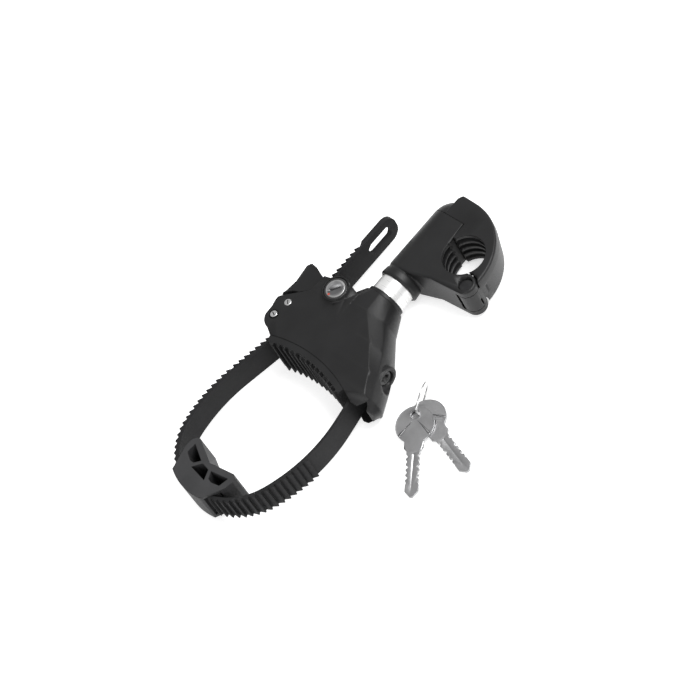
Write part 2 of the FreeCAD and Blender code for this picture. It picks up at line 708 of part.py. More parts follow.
def strap_teeth(body, stretch, number, start, count):
    """One row of teeth on a straight or round stretch; the steep flank faces along the path."""
    kind, x, y, heading, amount, radius = stretch
    pitch, rise, half = S.tooth_pitch, S.tooth_height, S.strap_half
    low, high = S.strap_thick - 0.3, S.strap_thick + rise
    name = f"teeth_{number}"
    if kind == "straight":
        begin = pitch * start
        tooth = [(begin, -low), (begin + pitch * 0.1, -low - 0.3), (begin + pitch * 0.8, -high),
                 (begin + pitch * 0.94, -high), (begin + pitch, -low)]
        made = prism(body, name, [list(reversed(tooth))], -half, half, at=(x, y), turn=heading)
        row = body.newObject("PartDesign::LinearPattern", name + "_row")
        row.Direction = (made.Profile[0], ["H_Axis"])
        bind(row, "Length", pitch * (count - 1))
    else:
        side = 1 if amount > 0 else -1
        step = pitch / (radius + side * high) * (180 / math.pi)
        origin = heading - 90 * side

        def spot(along, gap):
            angle = side * step * (start + along)
            return polar(0, 0, radius + side * gap, angle)

        tooth = [spot(0, low), spot(0.1, low + 0.3), spot(0.8, high), spot(0.94, high), spot(1, low)]
        made = prism(body, name, [tooth], -half, half, at=(x, y), turn=origin)
        row = body.newObject("PartDesign::PolarPattern", name + "_row")
        row.Axis = (made.Profile[0], ["N_Axis"])
        bind(row, "Angle", step * (count - 1))
        row.Reversed = side < 0
    row.Originals = [made]
    bind(row, "Occurrences", count)
    body.Tip = row


def protector():
    guard = part("frame_protector")
    at, turn, half = (S.loop_x, S.loop_y), S.guard_angle, S.guard_half
    out = S.loop_radius + 5.2
    block = [
        (24, 0), (18, -19), (19, -21.5), (22, -23), (28, -22.5), (41.5, -16.6), (43.4, -15.9),
        (out, 0, out), (43.4, 15.9, out), (41.5, 16.6), (28, 22.5), (22, 23), (19, 21.5), (18, 19),
    ]
    prism(guard, "block", [block], -half, half, at=at, turn=turn)
    low, high = S.loop_radius - S.free_gap, S.loop_radius + S.strap_thick + S.tooth_height + S.free_gap
    a, b, c, d = (polar(0, 0, r, k) for r, k in ((low, -40), (high, -40), (high, 40), (low, 40)))
    wide = S.strap_half + 0.3
    prism(guard, "strap_way", [[a, b, (*c, high), d]], -wide, wide, cut=True, at=at, turn=turn)
    side = [(27, 5.5), (31.4, 8.5), (31.8, 12), (29.5, 18.2), (22.5, 18.8)]
    middle = [(27.5, -3.3), (34, -7.2), (34, 7.2), (27.5, 3.3)]
    mirrored = [(u, -v) for u, v in reversed(side)]
    for n, cell in enumerate((side, mirrored, middle), 1):
        prism(guard, f"cell_{n}", [cell], -half, half, cut=True, at=at, turn=turn)


def lever():
    body = part("ratchet_lever")
    wide, slim = S.head_half - 1.5, S.cheek_in - 0.6
    blade = [
        (60.2, -69.8), (59.9, -72.6), (57, -79.6), (56.4, -84.7), (59.4, -86.5), (71.6, -84.9, 60),
        (84.2, -86.4), (71.9, -70.8),
    ]
    blade = [b if len(b) == 2 else b[:2] for b in blade]
    prism(body, "blade", [list(reversed(blade))[::-1]], -wide, wide)
    hub = [(68, -73.6), (89.4, -73.6), (90.5, -76), (90.5, -79), (88.9, -84.6), (92.2, -89.8), (91, -90.6),
           (85.6, -86.5), (71.6, -84.9)]
    turned_gap = [circle(S.lever_x, S.lever_y, 9.4)]
    for name, low, high in (("front_relief", slim, wide), ("rear_relief", -wide, -slim)):
        prism(body, name, turned_gap, low, high, cut=True)
    prism(body, "hub", [hub], -slim, slim)
    under = [(58, -60), (58, -71.4), (69.5, -71.4), (74, -73.4), (93, -73.4), (93, -60)]
    prism(body, "strap_clearance", [under], -S.cheek_in, S.cheek_in, cut=True)
    shell = [
        (61.6, -69), (61.4, -73), (58.8, -79.8), (58.5, -83.4), (60, -84.3),
        (71.6, -82.9), (76, -82.6), (76, -76), (69.5, -69),
    ]
    prism(body, "underside", [shell], 2.2 - wide, wide - 2.2, cut=True)
    pocket = [(76.6, -82.4), (83.2, -82.4), (84, -79), (84, -72), (76.6, -72)]
    prism(body, "pawl_pocket", [pocket], -7.9, 7.9, cut=True)
    prism(body, "pivot_hole", [circle(S.lever_x, S.lever_y, 1.5 + S.run_gap)], -slim, slim, cut=True)
    prism(body, "pawl_pin_hole", [circle(79.6, -79.4, 1.0)], -slim, slim, cut=True)
    pins()
    pawls()


def pins():
    half = S.head_half
    for name, x, y in (("lever_pin", S.lever_x, S.lever_y), ("holding_pawl_pin", S.pawl_x, S.pawl_y)):
        pin = part(name)
        profile = [
            (0, -half + 0.1), (1.5, -half + 0.1), (1.5, half - 0.95), (2.4, half - 0.95),
            (2.4, half + 0.2), (2.1, half + 0.5), (0, half + 0.5),
        ]
        turned(pin, "pin", [profile], "XZ", (x, 0, -y), "V_Axis")
    pin = part("drive_pawl_pin")
    prism(pin, "pin", [circle(79.6, -79.4, 0.98)], -9, 9)


def pawls():
    drive = part("drive_pawl")
    outline = [(78, -81), (81.2, -81), (82, -78), (81.6, -72.9), (80.4, -72.7), (79, -76), (77.6, -78)]
    prism(drive, "pawl", [outline], -7.5, 7.5)
    prism(drive, "pin_hole", [circle(79.6, -79.4, 1.03)], -7.5, 7.5, cut=True)
    hold = part("holding_pawl")
    outline = [(95.4, -80.6), (98, -83), (101, -82.4), (103.4, -86), (104.4, -85), (101, -77.6), (94, -74.1),
               (92.6, -74.0), (92.4, -75.2)]
    prism(hold, "pawl", [list(outline)], -9.6, 9.6)
    prism(hold, "pin_hole", [circle(S.pawl_x, S.pawl_y, 1.5 + S.run_gap)], -9.6, 9.6, cut=True)


def lay(body, x, y, z, heading, lean):
    """Set a body down turned about Z and then leaning over its own edge."""
    turn = FreeCAD.Rotation(FreeCAD.Vector(0, 0, 1), heading)
    body.Placement = FreeCAD.Placement(FreeCAD.Vector(x, y, size(z).value), turn.multiply(lean))
    bind(body, "Placement.Base.z", z)


def key(label, x, y, heading, slope):
    """Key resting on its tip, its round bow raised by the ring below it."""
    blank = part(label)
    thick, bow, tip = S.key_thick, S.bow_radius, S.key_length
    prism(blank, "bow", [circle(0, 0, bow)], 0, thick)
    outline = [
        (8, -6.2), (16, -6.2), (18, -4.4), (tip - 4, -4.4), (tip, -1),
        (tip, 1), (tip - 4, 4.4), (18, 4.4), (16, 6.2), (8, 6.2),
    ]
    prism(blank, "blade", [outline], 0, thick)
    prism(blank, "ring_hole", [circle(-S.key_eye, 0, 3.2)], 0, thick, cut=True)
    for k, depth in enumerate((1.2, 0.6, 1.6, 0.9, 1.4, 0.5)):
        u = 21.5 + 3.6 * k
        for side in (-1, 1):
            outer, inner = side * 4.6, side * (4.4 - depth)
            notch = [(u - 1.5, outer), (u - 0.4, inner), (u + 0.4, inner), (u + 1.5, outer)]
            prism(blank, f"notch_{k}_{side + 1}", [notch], 0, thick, cut=True)
    prism(blank, "groove", [box(20, -0.7, tip - 6, 0.7)], thick - 0.5, thick, cut=True)
    over = FreeCAD.Rotation(FreeCAD.Vector(0, 1, 0), slope)
    lay(blank, x, y, tip * sine(slope) - S.head_half, heading, over)


def keys():
    key("key_rear", 94, 40.6, 74, 2.13)
    key("key_front", 102.1, 38.4, 38, 4.35)
    ring = part("key_ring")
    reach, wire, lean = S.ring_radius, S.wire_radius, 18.4
    section = [polar(reach, 0, wire, 60 * k) for k in range(6)]
    turned(ring, "wire", [section], "XZ", axis="V_Axis")
    over = FreeCAD.Rotation(FreeCAD.Vector(1, 0, 0), 90 - lean)
    lay(ring, 86.74, 33.16, reach * cosine(lean) + wire + 0.02 - S.head_half, 21.4, over)


def check():
    """Stop if a feature failed or a body has no sound solid."""
    doc.recompute()
    for thing in doc.Objects:
        if "Invalid" in thing.State or "Error" in thing.State:
            raise RuntimeError(f"{thing.Label} did not build")
    for body in PARTS:
        if body.Shape.isNull() or not body.Shape.isValid():
            raise RuntimeError(f"{body.Label} has no sound solid")


if __name__ == "__main__":
    main_jaw()
    swing_jaw()
    hinge_pin()
    barrel_nut()
    tie_bolt()
    arm_sleeve()
    rings()
    head_shell()
    back_cover()
    lock()
    anchor()
    frame_pad()
    strap()
    protector()
    lever()
    keys()
    check()
    os.makedirs("parts", exist_ok=True)
    for body in PARTS:
        body.Shape.exportStep(f"parts/{body.Label}.step")
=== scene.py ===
"""Looks of the lockable frame clamp: rounded mouldings, metals, rubber, lock face, keys and the studio."""
import math

import bmesh
import bpy
from mathutils import Matrix, Vector


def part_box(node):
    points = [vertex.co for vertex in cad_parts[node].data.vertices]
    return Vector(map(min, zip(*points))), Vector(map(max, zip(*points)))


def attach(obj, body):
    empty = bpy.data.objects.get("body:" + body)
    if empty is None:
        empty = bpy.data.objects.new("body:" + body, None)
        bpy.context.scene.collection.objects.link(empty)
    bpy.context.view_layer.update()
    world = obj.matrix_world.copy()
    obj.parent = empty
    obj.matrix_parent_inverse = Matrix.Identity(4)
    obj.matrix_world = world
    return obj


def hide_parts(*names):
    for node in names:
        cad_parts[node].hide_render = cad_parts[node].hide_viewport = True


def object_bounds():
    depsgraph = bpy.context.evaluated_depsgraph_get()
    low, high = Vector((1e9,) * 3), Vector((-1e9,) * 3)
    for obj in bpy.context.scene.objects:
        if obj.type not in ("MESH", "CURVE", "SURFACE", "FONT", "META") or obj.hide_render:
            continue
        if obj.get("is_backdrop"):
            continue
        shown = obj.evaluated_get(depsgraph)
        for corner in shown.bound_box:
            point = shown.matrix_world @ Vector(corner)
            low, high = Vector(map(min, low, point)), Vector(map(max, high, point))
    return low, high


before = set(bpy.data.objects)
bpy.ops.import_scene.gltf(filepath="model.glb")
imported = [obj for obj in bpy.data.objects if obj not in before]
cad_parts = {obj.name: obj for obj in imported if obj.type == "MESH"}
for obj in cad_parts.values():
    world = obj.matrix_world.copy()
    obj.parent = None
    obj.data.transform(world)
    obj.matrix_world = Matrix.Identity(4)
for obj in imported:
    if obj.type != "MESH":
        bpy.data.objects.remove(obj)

bl_info = {
    "name": "Frame clamp looks",
    "version": (1, 0, 0),
    "blender": (4, 5, 0),
    "location": "View3D > Sidebar > Frame clamp",
    "description": "Finishes the frame clamp's CAD pieces and sets up its studio",
    "category": "Object",
}

MM = 0.001

# What the lamps and the camera aim at, and the camera's lens and sensor (mm).
LIT_POINT = (0.09, -0.03, 0)
AIMED_POINT = (87.21, -27.98, 0)
LENS, SENSOR = 150, 36
# How much light of its own the floor sends to the camera.
FLOOR_GLOW = 0.6

# Each CAD node's body and finish.
MOULDINGS = {
    "main_jaw": ("clamp", "shell"), "swing_jaw": ("swing_jaw", "shell"), "thrust_washer": ("clamp", "shell"),
    "head_shell": ("head", "shell"), "back_cover": ("head", "shell"), "frame_pad": ("head", "pad"),
    "strap": ("head", "strap"), "frame_protector": ("protector", "guard"),
}
METALWORK = {
    "hinge_pin": ("clamp", "black_steel"), "barrel_nut": ("swing_jaw", "plated"),
    "tie_bolt": ("tie_bolt", "bolt"), "arm_sleeve": ("clamp", "sleeve"),
    "retaining_ring": ("clamp", "plated"), "cover_screw_1": ("head", "plated"),
    "cover_screw_2": ("head", "plated"), "cover_screw_3": ("head", "plated"),
    "cover_screw_4": ("head", "plated"), "lock_cam": ("lock_plug", "plated"),
    "anchor_screw": ("head", "black_steel"), "anchor_nut": ("head", "plated"),
    "lever_pin": ("head", "bright"), "holding_pawl_pin": ("head", "bright"),
    "drive_pawl_pin": ("lever", "plated"), "drive_pawl": ("drive_pawl", "plated"),
    "holding_pawl": ("holding_pawl", "plated"),
}
SLOTS = {
    "shell": "shell_black", "guard": "guard_rubber", "pad": "rubber_black", "strap": "strap_black",
    "key": "key_metal", "plated": "steel_plated", "bolt": "steel_plated", "sleeve": "steel_satin",
    "lock": "lock_metal", "lock_face": "lock_metal", "bright": "steel_plated", "black_steel": "steel_plated",
    # painted_shade pieces share the moulding black's slot; their darker colour is painted shade
    "painted_shade": "shell_black",
}
# Bow centre (mm), heading and slope (degrees) of each key.
KEYS = {"key_rear": (94, 40.6, 74, 2.13), "key_front": (102.1, 38.4, 38, 4.35)}
# Round end of the strap: its centre, the radius inside it, the strap's thickness and its teeth (mm).
LOOP_CENTRE = (175.3, -39.3)
LOOP_RADIUS = 41.0
STRAP_THICK = 1.8
TOOTH_HEIGHT = 1.8
# Start and width of the teeth that close the row where two bends meet, in degrees round the centre.
JOINING_TEETH = ((-84.0, 5.1), (56.8, 5.65), (62.45, 5.8))
# Heading of the frame protector, and the openings between its ribs seen along that heading (mm).
GUARD_HEADING = -9.7
GUARD_CELLS = (
    ((26, 4.5), (32, 8), (32.4, 12.4), (30, 19), (21.5, 19.6)),
    ((26, -4.5), (21.5, -19.6), (30, -19), (32.4, -12.4), (32, -8)),
    ((26.7, -3.9), (34.6, -8), (34.6, 8), (26.7, 3.9)),
)
# Inner side of the wall between those openings and the strap (mm).
GUARD_WALL = (
    (32, 20.2), (32, 12), (31.2, 8.4), (31, 5.3), (34.2, 7.35),
    (34.2, -7.35), (31, -5.3), (31.2, -8.4), (32, -12), (32, -20.2),
)


# ---------------------------------------------------------------- materials

def new_material(name):
    """A material with its shader, and the Object coordinates that its patterns read."""
    material = bpy.data.materials.new(name)
    material.use_nodes = True
    nodes, links = material.node_tree.nodes, material.node_tree.links
    nodes.clear()
    output = nodes.new("ShaderNodeOutputMaterial")
    shader = nodes.new("ShaderNodeBsdfPrincipled")
    links.new(shader.outputs["BSDF"], output.inputs["Surface"])
    place = nodes.new("ShaderNodeTexCoord")
    return material, shader, place.outputs["Object"]


def stretched(material, source, scale):
    """The coordinates scaled by a different amount along each axis."""
    mapping = material.node_tree.nodes.new("ShaderNodeMapping")
    mapping.inputs["Scale"].default_value = scale
    material.node_tree.links.new(source, mapping.inputs["Vector"])
    return mapping.outputs["Vector"]


def noise(material, source, scale, detail=2.0, rough=0.5):
    node = material.node_tree.nodes.new("ShaderNodeTexNoise")
    node.inputs["Scale"].default_value = scale
    node.inputs["Detail"].default_value = detail
    node.inputs["Roughness"].default_value = rough
    material.node_tree.links.new(source, node.inputs["Vector"])
    return node.outputs["Fac"]


def spread(material, source, low, high, start=0.3, end=0.7):
    """Remaps a pattern's middle range to low..high."""
    node = material.node_tree.nodes.new("ShaderNodeMapRange")
    node.inputs["From Min"].default_value = start
    node.inputs["From Max"].default_value = end
    node.inputs["To Min"].default_value = low
    node.inputs["To Max"].default_value = high
    material.node_tree.links.new(source, node.inputs["Value"])
    return node.outputs["Result"]


def tint(material, source, dark, light):
    """A colour that runs from dark to light with a pattern."""
    node = material.node_tree.nodes.new("ShaderNodeMix")
    node.data_type = "RGBA"
    node.inputs["A"].default_value = (*dark, 1)
    node.inputs["B"].default_value = (*light, 1)
    material.node_tree.links.new(source, node.inputs["Factor"])
    return node.outputs["Result"]


def bump(material, source, strength, distance, base=None):
    node = material.node_tree.nodes.new("ShaderNodeBump")
    node.inputs["Strength"].default_value = strength
    node.inputs["Distance"].default_value = distance
    material.node_tree.links.new(source, node.inputs["Height"])
    if base is not None:
        material.node_tree.links.new(base, node.inputs["Normal"])
    return node.outputs["Normal"]


def eased(material, radius):
    """Surface direction with the edges eased, as on a moulding or a tumbled metal part."""
    node = material.node_tree.nodes.new("ShaderNodeBevel")
    node.samples = 6
    node.inputs["Radius"].default_value = radius
    return node.outputs["Normal"]


def moulded(name, dark, light, rough, grain, depth, specular=0.25, edge=0.0005):
    """Moulded plastic or rubber: a fine spark-eroded grain over faint flow marks."""
    material, shader, place = new_material(name)
    links = material.node_tree.links
    flow = noise(material, place, 55, 4, 0.55)
    fine = noise(material, place, grain, 3, 0.6)
    shades = tint(material, spread(material, flow, 0, 1, 0.35, 0.65), dark, light)
    links.new(shades, shader.inputs["Base Color"])
    links.new(spread(material, fine, rough - 0.05, rough + 0.06), shader.inputs["Roughness"])
    links.new(bump(material, fine, 0.35, depth, eased(material, edge)), shader.inputs["Normal"])
    shader.inputs["Specular IOR Level"].default_value = specular
    return material


def metal(name, dark, light, rough, scale, depth, direction=(1, 1, 1), edge=0.00025, bare=1.0):
    """Bare or plated metal with marks drawn out along one direction."""
    material, shader, place = new_material(name)
    links = material.node_tree.links
    marks = noise(material, stretched(material, place, direction), scale, 4, 0.6)
    cloud = noise(material, place, 90, 3, 0.5)
    shades = tint(material, spread(material, cloud, 0, 1, 0.35, 0.65), dark, light)
    links.new(shades, shader.inputs["Base Color"])
    links.new(spread(material, marks, rough - 0.06, rough + 0.08), shader.inputs["Roughness"])
    links.new(bump(material, marks, 0.3, depth, eased(material, edge)), shader.inputs["Normal"])
    shader.inputs["Metallic"].default_value = bare
    return material


def reach(material, place, point, flat=False):
    """Distance from a point, or from the upright line through it."""
    nodes, links = material.node_tree.nodes, material.node_tree.links
    away = nodes.new("ShaderNodeVectorMath")
    away.operation = "SUBTRACT"
    away.inputs[1].default_value = point
    links.new(place, away.inputs[0])
    squash = nodes.new("ShaderNodeVectorMath")
    squash.operation = "MULTIPLY"
    squash.inputs[1].default_value = (1, 1, 0 if flat else 1)
    links.new(away.outputs["Vector"], squash.inputs[0])
    length = nodes.new("ShaderNodeVectorMath")
    length.operation = "LENGTH"
    links.new(squash.outputs["Vector"], length.inputs[0])
    return length.outputs["Value"]


def lock_face_metal(name, dot_radius):
    """The plug's face: brushed zinc with a painted highlight round its rim, standing in for light caught on
    its chamfer, and one red paint dot near its rim.
    """
    low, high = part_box("lock_plug")
    axis = Vector(((low.x + high.x) / 2, (low.y + high.y) / 2, high.z))
    rim = (high.x - low.x) / 2
    material = metal(name, (0.20, 0.20, 0.205), (0.30, 0.30, 0.305), 0.42, 1500, 0.00002)
    nodes, links = material.node_tree.nodes, material.node_tree.links
    shader = nodes["Principled BSDF"]
    place = nodes["Texture Coordinate"].outputs["Object"]
    bare = shader.inputs["Base Color"].links[0].from_socket
    # Painted highlight: a lighter band round the outer edge of the face
    ring = spread(material, reach(material, place, axis, flat=True), 0, 1, rim * 0.80, rim * 0.84)
    rim_highlighted = nodes.new("ShaderNodeMix")
    rim_highlighted.data_type = "RGBA"
    rim_highlighted.inputs["B"].default_value = (0.42, 0.42, 0.42, 1)
    links.new(ring, rim_highlighted.inputs["Factor"])
    links.new(bare, rim_highlighted.inputs["A"])
    dot_place = axis + Vector((rim * 0.82, rim * -0.14, 0))
    dot = spread(material, reach(material, place, dot_place), 1, 0, dot_radius * 0.9, dot_radius)
    painted = nodes.new("ShaderNodeMix")
    painted.data_type = "RGBA"
    painted.inputs["B"].default_value = (0.42, 0.06, 0.04, 1)
    links.new(dot, painted.inputs["Factor"])
    links.new(rim_highlighted.outputs["Result"], painted.inputs["A"])
    links.new(painted.outputs["Result"], shader.inputs["Base Color"])
    links.new(spread(material, dot, 1, 0, 0, 1), shader.inputs["Metallic"])
    return material


def threaded_metal(name):
    """Plated steel with rolled thread ridges along the bolt."""
    material = metal(name, (0.50, 0.50, 0.49), (0.62, 0.62, 0.61), 0.32, 900, 0.00002)
    nodes, links = material.node_tree.nodes, material.node_tree.links
    wave = nodes.new("ShaderNodeTexWave")
    wave.bands_direction = "X"
    wave.inputs["Scale"].default_value = 314
    links.new(nodes["Texture Coordinate"].outputs["Object"], wave.inputs["Vector"])
    normal = nodes["Principled BSDF"].inputs["Normal"]
    links.new(bump(material, wave.outputs["Fac"], 0.8, 0.0003, normal.links[0].from_socket), normal)
    return material


def make_materials(look):
    black, grain = look.black_level, look.grain_size * 1000
    rough, edge = look.shell_roughness, look.edge_radius
    satin = (0.8, 0.8, 0.8), (0.9, 0.9, 0.89)

    def blacks(dark, light):
        return [tuple(black * k * part for part in (1, 1, 1.04)) for k in (dark, light)]

    return {
        "shell": moulded("Moulded black", *blacks(1, 1.3), rough, 900 / grain, 0.00006, 0.3, edge),
        "strap": moulded("Strap nylon", *blacks(1.6, 2.1), 0.6, 700 / grain, 0.00004, 0.15, 0.0003),
        "pad": moulded("Pad rubber", *blacks(0.9, 1.2), 0.6, 800 / grain, 0.00006, 0.3, 0.0004),
        "guard": moulded("Guard rubber", *blacks(3.6, 4.6), 0.6, 700 / grain, 0.00006, 0.3, 0.0007),
        # Painted shade: the moulding black at under half its level, for dark pieces laid where there is only
        # shade
        "painted_shade": moulded("Painted shade black", *blacks(0.4, 0.6), 0.7, 800 / grain, 0.00003, 0.1, 0.0001),
        "sleeve": metal("Satin steel", *satin, 0.3, 60, 0.00001, (30, 1, 1), bare=0.6),
        "plated": metal("Plated steel", (0.50, 0.50, 0.49), (0.62, 0.62, 0.61), 0.32, 900, 0.00002),
        "bolt": threaded_metal("Threaded steel"),
        "bright": metal("Bright steel", (0.62, 0.62, 0.62), (0.78, 0.78, 0.78), 0.25, 900, 0.00001),
        "black_steel": metal("Blackened steel", (0.05, 0.05, 0.052), (0.08, 0.08, 0.08), 0.35, 900, 0.00002),
        "lock": metal("Lock zinc", (0.06, 0.06, 0.062), (0.1, 0.1, 0.1), 0.4, 1500, 0.00002),
        "lock_face": lock_face_metal("Lock face", look.dot_radius),
        "key": metal("Key nickel", (0.36, 0.36, 0.365), (0.44, 0.44, 0.445), 0.34, 1200, 0.00002),
    }


# ---------------------------------------------------------------- geometry
def merged(node):
    """A bmesh of a CAD piece with its loose triangles joined."""
    bm = bmesh.new()
    bm.from_mesh(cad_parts[node].data)
    bmesh.ops.remove_doubles(bm, verts=bm.verts, dist=2e-6)
    return bm


def add_piece(name, bm, body, material, replaced=None, crisp=32):
    """Turns a bmesh into a piece that rides on a body; edges over crisp degrees stay sharp."""
    mesh = bpy.data.meshes.new(name)
    bm.to_mesh(mesh)
    bm.free()
    for polygon in mesh.polygons:
        polygon.use_smooth = True
    mesh.set_sharp_from_angle(angle=math.radians(crisp))
    mesh.materials.append(bpy.data.materials[material["name"]])
    piece = bpy.data.objects.new(name, mesh)
    bpy.context.scene.collection.objects.link(piece)
    weights = piece.modifiers.new("flat faces first", "WEIGHTED_NORMAL")
    weights.keep_sharp = True
    if replaced:
        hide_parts(replaced)
    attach(piece, body)
    return piece


def finish(key):
    """A material and its slot, made once."""
    return {"name": FINISHES[key].name, "slot": SLOTS[key]}


def finish_nodes(nodes):
    for node, (body, material) in nodes.items():
        add_piece(node + "_finished", merged(node), body, finish(material), node)


def flat_faces(bm, direction, height=None):
    """Faces that look along a direction, and lie at a height along it if one is given."""
    faces = [face for face in bm.faces if face.normal.dot(direction) > 0.9995]
    if height is None:
        return faces
    return [face for face in faces if abs(face.calc_center_median().dot(direction) - height) < 0.00005]


def sink_web(bm, faces, rim, depth):
    """Leaves a rim standing round flat faces."""
    bmesh.ops.inset_region(
        bm, faces=faces, thickness=rim, depth=-depth, use_even_offset=False, use_boundary=True)


def block(size, place, turn):
    """A small block with its top face centred on place."""
    bm = bmesh.new()
    bmesh.ops.create_cube(bm, size=1)
    bmesh.ops.scale(bm, verts=bm.verts, vec=size)
    bmesh.ops.translate(bm, verts=bm.verts, vec=(0, 0, -size[2] / 2))
    bmesh.ops.rotate(bm, verts=bm.verts, cent=(0, 0, 0), matrix=Matrix.Rotation(turn, 3, "Z"))
    bmesh.ops.translate(bm, verts=bm.verts, vec=place)
    return bm


def flat_ring(inner, outer, low, high, centre):
    """A flat ring turned about an upright axis."""
    bm = bmesh.new()
    corners = ((inner, low), (outer, low), (outer, high), (inner, high))
    verts = [bm.verts.new((centre[0] + r, centre[1], z)) for r, z in corners]
    edges = [bm.edges.new((verts[i], verts[(i + 1) % 4])) for i in range(4)]
    bmesh.ops.spin(
        bm, geom=verts + edges, cent=(*centre, 0), axis=(0, 0, 1), angle=math.tau, steps=40, use_merge=True)
    bmesh.ops.recalc_face_normals(bm, faces=bm.faces)
    return bm


def plate(corners, low, high):
    """A plate with an outline of points in the XY plane, from one height to another."""
    bm = bmesh.new()
    base = bm.faces.new([bm.verts.new((x, y, low)) for x, y in corners])
    raised = bmesh.ops.extrude_face_region(bm, geom=[base], use_keep_orig=True)["geom"]
    tops = [item for item in raised if isinstance(item, bmesh.types.BMVert)]
    bmesh.ops.translate(bm, verts=tops, vec=(0, 0, high - low))
    bmesh.ops.recalc_face_normals(bm, faces=bm.faces)
    return bm


def round_loop(radius, angle):
    """A point beside the strap's round end, in metres, from a radius in mm and an angle in degrees."""
    turn = math.radians(angle)
    x, y = LOOP_CENTRE
    return (x + radius * math.cos(turn)) * MM, (y + radius * math.sin(turn)) * MM


def middle_of(node):
    low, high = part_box(node)
    return (low + high) / 2, low, high


FINISHES = {}


def look_settings():
    return bpy.context.scene.clamp_look


# ---------------------------------------------------------------- add-on
class ClampLook(bpy.types.PropertyGroup):
    black_level: bpy.props.FloatProperty(
        name="Black level", description="Reflectance of the black mouldings", default=0.009, min=0.0, max=1.0)
    shell_roughness: bpy.props.FloatProperty(
        name="Moulding roughness", description="Roughness of the black mouldings",
        default=0.42, min=0.0, max=1.0)
    grain_size: bpy.props.FloatProperty(
        name="Grain", description="Size of the moulded grain", default=0.0006, unit="LENGTH", min=0.0001)
    edge_radius: bpy.props.FloatProperty(
        name="Edge rounding", description="Rounding of the mouldings' edges",
        default=0.0007, unit="LENGTH", min=0.0)
    lever_rim: bpy.props.FloatProperty(
        name="Lever rim", description="Width of the rim round the lever's webs",
        default=0.0013, unit="LENGTH")
    web_depth: bpy.props.FloatProperty(
        name="Web depth", description="How far the lever's webs are sunk", default=0.0006, unit="LENGTH")
    bow_chord: bpy.props.FloatProperty(
        name="Bow chord", description="From the bow's centre to the end of its sunk face",
        default=0.0085, unit="LENGTH")
    key_rim: bpy.props.FloatProperty(
        name="Key rim", description="Width of the rim round a key's bow", default=0.001, unit="LENGTH")
    rim_height: bpy.props.FloatProperty(
        name="Rim height", description="Height of the rim round a key's bow", default=0.0002, unit="LENGTH")
    dot_radius: bpy.props.FloatProperty(
        name="Lock dot", description="Radius of the red dot on the lock",
        default=0.0009, unit="LENGTH", min=0.0)


class ClampStage(bpy.types.PropertyGroup):
    key_power: bpy.props.FloatProperty(
        name="Key light", description="Power of the large light above", default=10.0, min=0.0)
    fill_power: bpy.props.FloatProperty(
        name="Fill light", description="Power of the side light", default=3.0, min=0.0)
    world_level: bpy.props.FloatProperty(
        name="Room light", description="Brightness of the white surroundings", default=0.55, min=0.0)
    camera_distance: bpy.props.FloatProperty(
        name="Camera distance", description="From the aimed point", default=1.8229, unit="LENGTH")
    camera_turn: bpy.props.FloatProperty(
        name="Camera azimuth", description="Round the object", default=math.radians(70.8), subtype="ANGLE")
    camera_rise: bpy.props.FloatProperty(
        name="Camera elevation", description="Above the floor", default=math.radians(52), subtype="ANGLE")
    camera_roll: bpy.props.FloatProperty(
        name="Camera roll", description="About its own line of sight",
        default=math.radians(-33.7), subtype="ANGLE")


class CLAMP_OT_finishes(bpy.types.Operator):
    """Make the clamp's materials"""
    bl_idname = "clamp.finishes"
    bl_label = "Make finishes"

    def execute(self, context):
        FINISHES.update(make_materials(look_settings()))
        return {"FINISHED"}


class CLAMP_OT_mouldings(bpy.types.Operator):
    """Finish the black mouldings, the pad, the strap and the frame protector"""
    bl_idname = "clamp.mouldings"
    bl_label = "Finish mouldings"

    def execute(self, context):
        finish_nodes(MOULDINGS)
        return {"FINISHED"}


class CLAMP_OT_metalwork(bpy.types.Operator):
    """Finish the sleeve, the bolt, the pins, the screws and the pawls"""
    bl_idname = "clamp.metalwork"
    bl_label = "Finish metalwork"

    def execute(self, context):
        finish_nodes(METALWORK)
        return {"FINISHED"}


class CLAMP_OT_strap(bpy.types.Operator):
    """Close the strap's row of teeth where its bends meet, and the protector's openings with thin plates
    painted dark as shade
    """
    bl_idname = "clamp.strap"
    bl_label = "Add strap teeth"

    def execute(self, context):
        add_joining_teeth()
        add_guard_cell_shade()
        add_guard_liner()
        return {"FINISHED"}


def add_joining_teeth():
    low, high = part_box("strap")
    skin = LOOP_RADIUS + STRAP_THICK
    root, rise, tip = skin - 0.3, skin, skin + TOOTH_HEIGHT
    for number, (start, width) in enumerate(JOINING_TEETH, 1):
        profile = ((root, 0), (rise, 0.1), (tip, 0.8), (tip, 0.94), (root, 1))
        corners = [round_loop(radius, start + width * share) for radius, share in profile]
        tooth = plate(corners, low.z + 0.00001, high.z - 0.00001)
        add_piece(f"strap_tooth_{number}", tooth, "head", finish("strap"))


def guard_point(u, v):
    """A point of the frame protector, in metres, from mm along and across its heading."""
    return round_loop(math.hypot(u, v), GUARD_HEADING + math.degrees(math.atan2(v, u)))


def add_guard_cell_shade():
    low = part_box("frame_protector")[0].z
    for number, cell in enumerate(GUARD_CELLS, 1):
        # Painted shade: thin plates close the openings deep down, coloured far darker than the protector's
        # rubber to stand in for the shade there
        shade_plate = plate([guard_point(*corner) for corner in cell], low + 0.004, low + 0.005)
        add_piece(f"protector_cell_shade_{number}", shade_plate, "protector", finish("painted_shade"))


def add_guard_liner():
    """The wall of the frame protector between its openings and the strap."""
    low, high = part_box("strap")
    radius, half_turn, steps = LOOP_RADIUS - 0.4, 27, 18
    angles = [GUARD_HEADING - half_turn + 2 * half_turn * k / steps for k in range(steps + 1)]
    corners = [round_loop(radius, angle) for angle in angles]
    corners += [guard_point(*corner) for corner in GUARD_WALL]
    wall = plate(corners, low.z - 0.00031, high.z + 0.00031)
    add_piece("protector_liner", wall, "protector", finish("guard"))


